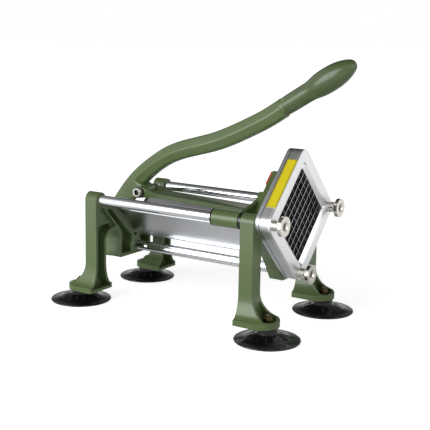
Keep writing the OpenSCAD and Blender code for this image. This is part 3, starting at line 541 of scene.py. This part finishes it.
def lever_grids(pivot, pin, shape):
    """Closed grids of the lever: bar, hub, lug and grip.

    The bar follows a smooth line through points given as shares of reach, rise, depth and width. Its
    section is a hexagon with a ridge at half depth, and every corner is an arc of the ridge's radius:
    a point lies at the corner that its normal picks, plus the radius times the normal.
    """
    size = np.array([shape.lever_reach, shape.lever_rise, shape.lever_depth, shape.lever_width])
    line = smooth_line(LEVER_SHARES * size + (*pivot, 0, 0), LINE_STEPS)
    way = np.gradient(line[:, :2], axis=0)
    way /= np.linalg.norm(way, axis=1)[:, None]
    t = np.linspace(0, 2 * math.pi, BAR_COLUMNS, endpoint=False) + math.pi / BAR_COLUMNS
    close = np.array([[0, 0.0], [0, 0.8], [0.3 * BAR_END, 0.93], [BAR_END, 1.0]])
    first = [(line[0], -BAR_END + along, scale, way[0]) for along, scale in close]
    last = [(line[-1], BAR_END - along, scale, way[-1]) for along, scale in close[::-1]]
    rows = first + [(point, 0.0, 1.0, turn) for point, turn in zip(line[1:-1], way[1:-1])] + last
    place = np.array([np.append(point[:2] + shift * turn, [point[2] * scale, point[3] * scale, *turn])
                      for point, shift, scale, turn in rows])
    x, z, half_deep, half_wide, dx, dz = (place[:, i, None] for i in range(6))
    radius = np.minimum(shape.lever_ridge, np.minimum(half_deep, half_wide) * 0.6)
    tilt = np.arctan2(half_wide * (1 - BAR_FLAT) - radius, half_deep - radius)
    on_ridge = np.abs(np.arctan(np.tan(t)))[None, :] < tilt
    corner_wide = np.where(on_ridge, half_wide - radius, BAR_FLAT * half_wide)
    corner_deep = np.where(on_ridge, 0, half_deep - radius)
    wide = np.sign(np.cos(t)) * corner_wide + radius * np.cos(t)
    deep = np.sign(np.sin(t)) * corner_deep + radius * np.sin(t)
    bar = np.stack([x - deep * dz, wide, z + deep * dx], -1)
    # Hub round the pivot's bush and lug round the crank pin's bush: rings with rounded rims
    hub = around(ring_profile(*HUB), RING_COLUMNS, (0, 1, 0), (pivot[0], 0, pivot[1]))
    grids = [(bar, False, True), (hub, True, True)]
    behind, ahead = (line[i * LINE_STEPS, :2] for i in (2, 3))
    corners = [pin + LUG_NOSE * LUG_FRONT, ahead, behind, pin + LUG_NOSE * LUG_BACK]
    grids.append((lug_grid(pin, LUG_NOSE, corners, LUG_HALF, LUG_BORE, LUG_RIM), True, True))
    turn = math.radians(GRIP_SLOPE)
    grip_way = (math.cos(turn), 0, math.sin(turn))
    grip = smooth_line(GRIP_SHARES * (shape.grip_length, shape.grip_diameter), GRIP_STEPS)
    grip[:, 1] = np.maximum(grip[:, 1], 0)
    start = pivot + size[:2] - (0, GRIP_DROP)
    grids.append((around(grip, RING_COLUMNS, grip_way, (start[0], 0, start[1])), False, True))
    return grids


def ring_profile(length, inner, outer, rim):
    """Closed profile [along, radius] of a bush-like ring whose outer rims are quarter circles."""
    turn = np.linspace(0, math.pi / 2, 5)
    half = length / 2
    left = np.stack([-half + rim - rim * np.cos(turn), outer - rim + rim * np.sin(turn)], 1)
    right = np.stack([half - rim + rim * np.sin(turn), outer - rim + rim * np.cos(turn)], 1)
    return np.vstack([[-half, inner], left, right, [half, inner]])


def lug_grid(centre, nose, corners, half, bore, rim):
    """Ring from a bore out to an outline, drawn along Y between -half and half, with rounded rims.

    The outline is the hull of a circle round the centre and the corners, met by even rays.
    """
    t = np.linspace(0, 2 * math.pi, LUG_COLUMNS, endpoint=False)
    ray = np.stack([np.cos(t), np.sin(t)], 1)
    reach = np.full(len(t), nose)
    points = np.array(corners) - centre
    for a, b in zip(points[:-1], points[1:]):
        edge = b - a
        cross = ray[:, 0] * edge[1] - ray[:, 1] * edge[0]
        safe = np.where(np.abs(cross) < 1e-9, 1e-9, cross)
        far = (a[0] * edge[1] - a[1] * edge[0]) / safe
        share = (a[0] * ray[:, 1] - a[1] * ray[:, 0]) / safe
        hit = (far > 0) & (share >= 0) & (share <= 1)
        reach = np.where(hit, np.maximum(reach, far), reach)
    turn = np.linspace(0, math.pi / 2, 4)
    rows = [(-half, bore, 0)]
    rows += [(-half + rim * (1 - math.cos(a)), None, rim * (1 - math.sin(a))) for a in turn]
    rows += [(-y, r, cut) for y, r, cut in rows[::-1]]
    grid = []
    for y, fixed, cut in rows:
        radius = np.full(len(t), fixed) if fixed is not None else reach - cut
        x, z = centre[0] + radius * ray[:, 0], centre[1] + radius * ray[:, 1]
        grid.append(np.stack([x, np.full(len(t), y), z], 1))
    return np.array(grid)


def cup_grids(node, ribs):
    """Suction cup: a hollow underside, a thin rim and a bell with a neck, turned about its axis.

    Fine rings near the rim are a sine of the radius. Ribs rise on the bell near the neck: a height
    times a high power of cos(ribs * t), faded in and out along the radius.
    """
    low, high = (np.array(corner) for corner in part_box(node))
    x, y = (low[:2] + high[:2]) / 2
    width, height = high[0] - low[0], high[2]
    under = CUP_UNDER_SHARES * (width, height)
    bell = smooth_line(CUP_BELL_SHARES * (width, height), LINE_STEPS)
    neck = CUP_NECK_SHARES * (width, height)
    fade = np.clip((bell[:, 0] - RING_FROM * width) / (RING_FADE * width), 0, 1)
    rings = RING_HEIGHT * np.sin(bell[:, 0] * RING_RADIANS) * fade
    bell[:, 1] += rings * (bell[:, 0] < RING_END * width)
    profile = np.vstack([under, bell, neck])[:, ::-1]
    top = (np.arange(len(profile)) >= len(under)) & (np.arange(len(profile)) < len(under) + len(bell))

    def ripple(along, radius, t):
        share = radius / width
        window = np.clip((share - RIB_FROM) / RIB_IN, 0, 1) * np.clip((RIB_END - share) / RIB_OUT, 0, 1)
        ridge = np.clip(np.cos(ribs * t), 0, 1) ** RIB_POWER
        return along + RIB_HEIGHT * window * ridge * top[:, None], radius

    return [(around(profile, CUP_COLUMNS, (0, 0, 1), (x, y, 0), ripple), False, True)]


# Settings that a user would change


class FryCutterFinishes(bpy.types.PropertyGroup):
    """Colours and edge sizes of the fry cutter's pieces."""

    enamel: FloatVectorProperty(
        name="Enamel", description="Colour of the painted castings", subtype="COLOR",
        default=(0.100, 0.150, 0.052), min=0, max=1,
    )
    rubber: FloatVectorProperty(
        name="Rubber", description="Colour of the cups and rings", subtype="COLOR",
        default=(0.0035, 0.0042, 0.0055), min=0, max=1,
    )
    label: FloatVectorProperty(
        name="Label", description="Colour of the strip on the blade frame", subtype="COLOR",
        default=(0.86, 0.72, 0.015), min=0, max=1,
    )
    badge: FloatVectorProperty(
        name="Badge", description="Colour of the plate on the pusher head", subtype="COLOR",
        default=(0.62, 0.02, 0.03), min=0, max=1,
    )
    casting_edge: FloatProperty(
        name="Casting edge", description="Rounding of the castings' edges", subtype="DISTANCE",
        default=0.0012, min=0.0, max=0.002,
    )
    link_edge: FloatProperty(
        name="Link edge", description="Rounding of the link's edges", subtype="DISTANCE",
        default=0.0022, min=0.0, max=0.0024,
    )
    machined_edge: FloatProperty(
        name="Machined edge", description="Rounding of machined edges", subtype="DISTANCE",
        default=0.0004, min=0.0, max=0.001,
    )


class FryCutterShapes(bpy.types.PropertyGroup):
    """Sizes of the pieces that are worked out here."""

    lever_reach: FloatProperty(
        name="Lever reach", description="From the pivot forward to the grip", subtype="DISTANCE",
        default=0.266, min=0.2, max=0.3,
    )
    lever_rise: FloatProperty(
        name="Lever rise", description="From the pivot up to the grip", subtype="DISTANCE",
        default=0.193, min=0.15, max=0.22,
    )
    lever_depth: FloatProperty(
        name="Lever depth", description="Thickness of the lever seen from the side", subtype="DISTANCE",
        default=0.022, min=0.016, max=0.026,
    )
    lever_width: FloatProperty(
        name="Lever width", description="Thickness of the lever seen from the front", subtype="DISTANCE",
        default=0.020, min=0.014, max=0.022,
    )
    lever_ridge: FloatProperty(
        name="Lever ridge", description="Radius of the ridge along the lever's sides", subtype="DISTANCE",
        default=0.0052, min=0.001, max=0.006,
    )
    grip_length: FloatProperty(
        name="Grip length", description="Length of the round grip", subtype="DISTANCE",
        default=0.0969, min=0.07, max=0.12,
    )
    grip_diameter: FloatProperty(
        name="Grip diameter", description="Thickest part of the grip", subtype="DISTANCE",
        default=0.028, min=0.02, max=0.03,
    )
    cup_ribs: IntProperty(
        name="Cup ribs", description="Radial ribs on a suction cup", default=14, min=0, max=40
    )


class FryCutterStudio(bpy.types.PropertyGroup):
    """The studio round the fry cutter."""

    key: FloatProperty(
        name="Key", description="Power of the key light", subtype="POWER", default=24.5, min=0.0
    )
    side: FloatProperty(
        name="Side", description="Power of the light at the front", subtype="POWER", default=6.0, min=0.0
    )
    fill: FloatProperty(name="Fill", description="Strength of the world's light", default=0.42, min=0.0)


def finishes():
    return bpy.context.scene.fry_cutter_finishes


def enamel():
    return bpy.data.materials.get("olive enamel") or olive_paint(finishes().enamel[:])


def dress(nodes, material):
    """Gives CAD nodes a material in place of the plain one."""
    for node in nodes:
        for slot in frame["nodes"][node].material_slots:
            slot.material = material


# Operators


class FRYCUTTER_OT_castings(bpy.types.Operator):
    """Rounds the edges of the two castings, the carriage and the link, and paints them"""

    bl_idname = "frycutter.castings"
    bl_label = "Castings"

    def execute(self, context):
        for node in PAINTED:
            rounded_copy(node, finishes().casting_edge, 3, enamel())
        rounded_copy("link", finishes().link_edge, 4, enamel())
        return {"FINISHED"}


class FRYCUTTER_OT_lever(bpy.types.Operator):
    """Builds the lever: a bar of lozenge section on a curved line, with hub, lug and round grip"""

    bl_idname = "frycutter.lever"
    bl_label = "Lever"

    def execute(self, context):
        shape = context.scene.fry_cutter_shapes
        pivot = joint_place("lever_swing")
        grids = lever_grids(pivot, joint_place("link_swing"), shape)
        grip_shade_from = float(pivot[0]) + shape.lever_reach
        # From where the grip starts, the enamel turns deeper with painted shade
        paint = olive_paint(finishes().enamel[:], "olive enamel, deeper with painted shade on the grip", grip_shade_from)
        mesh = mesh_of("lever bar", grids, LEVER_SHARP_ANGLE)
        piece_of("lever_bar", mesh, "lever", paint, ("lever",))
        return {"FINISHED"}


class FRYCUTTER_OT_metalwork(bpy.types.Operator):
    """Finishes the rods, the trough, the blade frame, the blades and the fasteners"""

    bl_idname = "frycutter.metalwork"
    bl_label = "Metalwork"

    def execute(self, context):
        edge = finishes().machined_edge
        rod = polished_rod(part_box("blade_frame_front")[1][0])
        for node in RODS:
            rounded_copy(node, edge, 2, rod)
        sheet = drawn_metal("bright sheet", (0.79, 0.80, 0.83), 0.24, 700, (0.03, 1, 1), SHEET_DEPTH)
        rounded_copy("trough", FINE_EDGE, 2, sheet)
        seam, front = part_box("blade_frame_back")[1][0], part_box("blade_frame_front")[1][0]
        alloy = frame_alloy(seam, front, FRAME_BEVEL)
        for node in ("blade_frame_back", "blade_frame_front"):
            rounded_copy(node, 2 * edge, 3, alloy)
        strip = drawn_metal("ground strip", (0.90, 0.91, 0.93), 0.2, 1200, (0.05, 1, 1), STRIP_DEPTH)
        dress(("blades_rising",), strip)
        # The falling blades take a darker copy of the strip steel as painted shade
        shaded = drawn_metal("dull strip", (0.30, 0.31, 0.32), 0.3, 1200, (0.05, 1, 1), STRIP_DEPTH)
        dress(("blades_falling",), shaded)
        screw = turned_metal("plated steel", (0.62, 0.62, 0.64), 0.28)
        for node in ("link_nut", "pivot_bolt", "pivot_nut", "push_pin_bolt"):
            rounded_copy(node, FINE_EDGE, 2, screw)
        socket = screw_with_painted_socket_shade(joint_place("link_swing"), SOCKET_RADIUS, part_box("link_bolt")[0][1])
        rounded_copy("link_bolt", BOLT_EDGE, 2, socket)
        dress(("rod_screws", "frame_screws", "pusher_screws", "pivot_washers"), screw)
        # The cup nuts, studs and washers are yellow zinc, darkened as painted shade of the deep foot pockets
        yellow = turned_metal("yellow zinc darkened as pocket shade", (0.11, 0.085, 0.038), 0.3)
        rounded_copy("cup_nuts", FINE_EDGE, 2, yellow)
        dress(("cup_studs", "cup_washers"), yellow)
        bronze = turned_metal("bearing bronze", (0.55, 0.40, 0.20), 0.35)
        dress(("lever_bush", "link_bush"), bronze)
        nickel = turned_metal("turned nickel", (0.80, 0.77, 0.71), 0.2)
        for node in HAND_NUTS:
            rounded_copy(node, NUT_EDGE, 2, nickel)
        return {"FINISHED"}


class FRYCUTTER_OT_rubber_and_plastic(bpy.types.Operator):
    """Builds the suction cups and finishes the rings, the bushes and the pusher block"""

    bl_idname = "frycutter.rubber_and_plastic"
    bl_label = "Rubber and plastic"

    def execute(self, context):
        rubber = glossy_rubber(finishes().rubber[:])
        ribs = context.scene.fry_cutter_shapes.cup_ribs
        for node in CUPS:
            mesh = mesh_of(node + " bell", cup_grids(node, ribs), CUP_SHARP_ANGLE)
            piece_of(node + "_bell", mesh, "frame", rubber, (node,))
        dress(("stop_bumpers", "link_washers"), rubber)
        plastic = moulded_plastic("black plastic", (0.004, 0.004, 0.0045), 0.55, 0.12)
        rounded_copy("pusher_block", FINE_EDGE, 1, plastic)
        dress(("rear_bushes", "front_bushes"), plastic)
        return {"FINISHED"}


class FRYCUTTER_OT_label_and_badge(bpy.types.Operator):
    """Finishes the bare label strip and the bare badge plate"""

    bl_idname = "frycutter.label_and_badge"
    bl_label = "Label and badge"

    def execute(self, context):
        low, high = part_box("label_strip")
        border = (0.05, 0.045, 0.01)
        foil = bordered_foil("yellow foil", finishes().label[:], border, low, high, LABEL_BORDER)
        dress(("label_strip",), foil)
        dress(("badge_plate",), moulded_plastic("red enamel plate", finishes().badge[:], 0.28))
        return {"FINISHED"}


class FRYCUTTER_OT_studio(bpy.types.Operator):
    """Adds the pale floor, the soft lights and the camera at the photograph's angle"""

    bl_idname = "frycutter.studio"
    bl_label = "Studio"

    def execute(self, context):
        studio = context.scene.fry_cutter_studio
        self.floor()
        self.world(studio.fill)
        self.lamp("key light", studio.key, KEY_SIZE, KEY_PLACE, LAMP_AIM)
        self.lamp("side light", studio.side, SIDE_SIZE, SIDE_PLACE, LAMP_AIM)
        self.camera(context)
        context.scene.view_settings.view_transform = "Standard"
        return {"FINISHED"}

    def floor(self):
        """Pale plane that the camera sees white; metal sees it paler with the distance, dimmer behind; the
        lower glow near the object is painted shade.
        """
        mesh = bpy.data.meshes.new("studio floor")
        corners = [(x * FLOOR_HALF, y * FLOOR_HALF, 0) for x, y in ((-1, -1), (1, -1), (1, 1), (-1, 1))]
        mesh.from_pydata(corners, [], [(0, 1, 2, 3)])
        floor = bpy.data.objects.new("studio floor", mesh)
        bpy.context.scene.collection.objects.link(floor)
        pale = Finish("pale floor", Roughness=0.9, Specular_IOR_Level=0.1)
        path = pale.node("ShaderNodeLightPath")
        x, y = pale.axes()[:2]
        # The glow grows with the distance, leaving a painted shade round the object that is deepest in what
        # metal reflects
        far = ((x * x + y * y) ** 0.5).rise(*FLOOR_SHADE_FADE)
        beyond = 1 - 0.78 * y.rise(*FLOOR_BEHIND_Y) * (1 - x.rise(*FLOOR_BEHIND_X))
        cloud = pale.noise(2.0, 2.0)
        pale.feed(Base_Color=pale.mix(cloud, (0.79, 0.79, 0.79), (0.81, 0.81, 0.81)))
        traced = path[GLOSSY_RAY].most(path[TRANSMISSION_RAY])
        strength = path[CAMERA_RAY] * (0.74 + 0.3 * far) + traced * (0.08 + 0.6 * far) * beyond
        glow = pale.node("ShaderNodeEmission", None, {"Color": (1, 1, 1), "Strength": strength})[0]
        both = pale.node("ShaderNodeAddShader", None, {0: Socket(pale, pale.shader.outputs[0]), 1: glow})[0]
        pale.links.new(both.output, pale.surface)
        mesh.materials.append(pale.material)

    def world(self, fill):
        """White seen from the camera; light and metal meet pale sides under a dark ceiling.

        tone goes from 1 to 0.12 as the direction climbs, and from 0.7 to 0.06 of that behind the object.
        """
        world = bpy.data.worlds.new("studio")
        bpy.context.scene.world = world
        world.use_nodes = True
        sky = Tree(world.node_tree)
        surface = sky.nodes.new("ShaderNodeOutputWorld").inputs["Surface"]
        path = sky.node("ShaderNodeLightPath")
        x, y, z = sky.split(sky.node("ShaderNodeTexCoord")[GENERATED])
        ceiling = z.rise(*SKY_CEILING)
        behind = y.rise(*SKY_BEHIND_Y) * (1 - x.rise(*SKY_BEHIND_X))
        tone = (1 - 0.88 * ceiling) * (1 - (0.3 + 0.64 * z.rise(*SKY_DIM)) * behind)
        shown = sky.mix(tone, (0, 0, 0), (1, 1, 1))
        plain = sky.node("ShaderNodeBackground", None, {"Color": shown, "Strength": fill})[0]
        mirror = sky.node("ShaderNodeBackground", None, {"Color": shown, "Strength": 1.0})[0]
        white = sky.node("ShaderNodeBackground", None, {"Color": (1, 1, 1), "Strength": 1.0})[0]
        traced = path[GLOSSY_RAY].most(path[TRANSMISSION_RAY])
        inner = sky.node("ShaderNodeMixShader", None, {0: traced, 1: plain, 2: mirror})[0]
        both = sky.node("ShaderNodeMixShader", None, {0: path[CAMERA_RAY], 1: inner, 2: white})[0]
        sky.links.new(both.output, surface)

    def lamp(self, name, power, size, place, aim):
        """Square area lamp at a place, turned to an aim."""
        light = bpy.data.lights.new(name, "AREA")
        light.energy = power
        light.size = size
        lamp = bpy.data.objects.new(name, light)
        bpy.context.scene.collection.objects.link(lamp)
        lamp.location = place
        lamp.rotation_euler = (Vector(aim) - Vector(place)).to_track_quat("-Z", "Y").to_euler()

    def camera(self, context):
        """Camera that was fitted to the photograph: place, three angles and focal length."""
        yaw, pitch, roll = (math.radians(a) for a in (CAMERA_YAW, CAMERA_PITCH, CAMERA_ROLL))
        back = Vector((math.sin(yaw) * math.cos(pitch), -math.cos(yaw) * math.cos(pitch), math.sin(pitch)))
        right = Vector((math.cos(yaw), math.sin(yaw), 0))
        up = back.cross(right)
        turned = math.cos(roll) * right + math.sin(roll) * up
        raised = math.cos(roll) * up - math.sin(roll) * right
        lens = bpy.data.cameras.new("camera")
        camera = bpy.data.objects.new("camera", lens)
        context.scene.collection.objects.link(camera)
        rows = [(turned[i], raised[i], back[i], CAMERA_PLACE[i]) for i in range(3)]
        camera.matrix_world = Matrix((*rows, (0, 0, 0, 1)))
        lens.sensor_width = 36.0
        lens.lens = CAMERA_FOCAL_PIXELS / PHOTO_PIXELS * lens.sensor_width
        lens.clip_start = 0.05
        lens.clip_end = 30.0
        context.scene.camera = camera


class FRYCUTTER_PT_panel(bpy.types.Panel):
    """Sidebar panel that lists the settings and the steps"""

    bl_label = "Fry Cutter"
    bl_space_type = "VIEW_3D"
    bl_region_type = "UI"
    bl_category = "Fry Cutter"

    def draw(self, context):
        scene = context.scene
        for group in (scene.fry_cutter_finishes, scene.fry_cutter_shapes, scene.fry_cutter_studio):
            box = self.layout.box()
            for key in group.__annotations__:
                box.prop(group, key)
        for step in STEPS:
            self.layout.operator(step.bl_idname)


STEPS = (
    FRYCUTTER_OT_castings,
    FRYCUTTER_OT_lever,
    FRYCUTTER_OT_metalwork,
    FRYCUTTER_OT_rubber_and_plastic,
    FRYCUTTER_OT_label_and_badge,
    FRYCUTTER_OT_studio,
)
CLASSES = (FryCutterFinishes, FryCutterShapes, FryCutterStudio, *STEPS, FRYCUTTER_PT_panel)


def register():
    for cls in CLASSES:
        bpy.utils.register_class(cls)
    bpy.types.Scene.fry_cutter_finishes = PointerProperty(type=FryCutterFinishes)
    bpy.types.Scene.fry_cutter_shapes = PointerProperty(type=FryCutterShapes)
    bpy.types.Scene.fry_cutter_studio = PointerProperty(type=FryCutterStudio)


def unregister():
    del bpy.types.Scene.fry_cutter_studio
    del bpy.types.Scene.fry_cutter_shapes
    del bpy.types.Scene.fry_cutter_finishes
    for cls in reversed(CLASSES):
        bpy.utils.unregister_class(cls)


def main():
    register()
    for step in STEPS:
        group, name = step.bl_idname.split(".")
        getattr(getattr(bpy.ops, group), name)()


if __name__ == "__main__":
    main()
